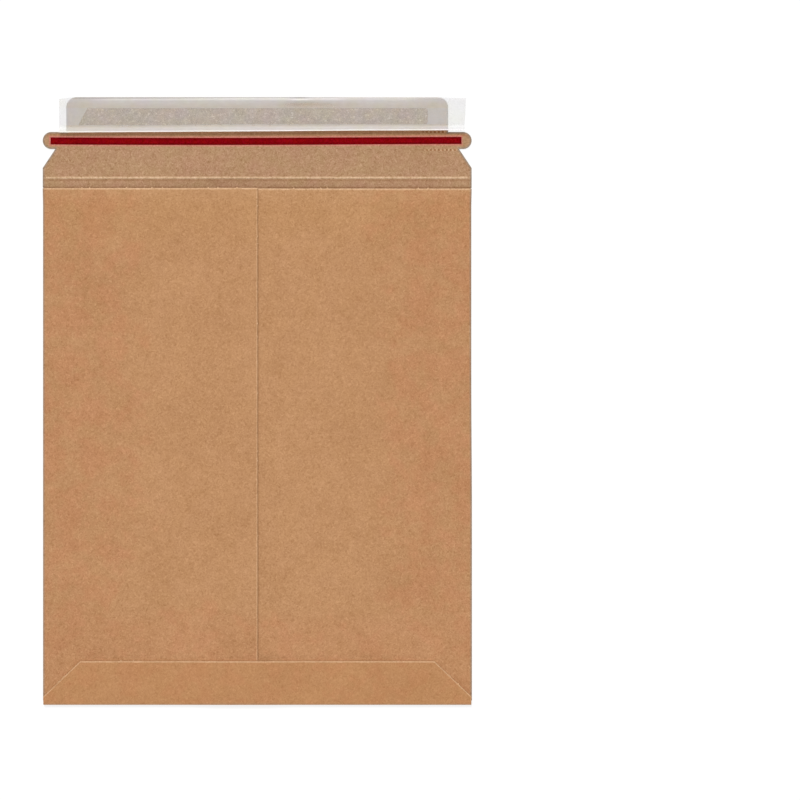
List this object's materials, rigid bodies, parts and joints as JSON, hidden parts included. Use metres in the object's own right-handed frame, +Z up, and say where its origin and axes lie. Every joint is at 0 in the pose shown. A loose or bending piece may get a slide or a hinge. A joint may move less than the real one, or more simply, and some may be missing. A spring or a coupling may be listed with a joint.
{
  "type": "rigid mailer",
  "caption": "Flat kraft board mailer with a centre seam, glued bottom flap and open closing flap with tear strip, red tear tape and lined adhesive.",
  "frame": {"origin": "centre of the bounding box on the floor, under the front panel", "axes": "+X across the mailer, +Y from the bottom fold to the open closing flap, +Z up from the front panel to the seam side"},
  "size_m": [0.2794, 0.3954, 0.0037],
  "materials": {
    "kraft_board": "matte",
    "red_tape": "satin",
    "clear_adhesive": "satin",
    "release_liner": "satin",
    "seam_glue": "satin"
  },
  "bodies": {
    "mailer": {"mailer_body": "kraft_board", "seam_glue": "seam_glue", "bottom_flap_glue": "seam_glue"},
    "flap": {"closing_flap": "kraft_board", "tear_tape": "red_tape", "seal_adhesive": "clear_adhesive", "release_liner": "release_liner"}
  },
  "joints": [
    {"name": "flap_hinge", "type": "hinge", "parent": "mailer", "child": "flap", "pos_m": [0, 0.14525, 0.00245], "axis": [1, 0, 0], "range_deg": [0, 176]}
  ]
}
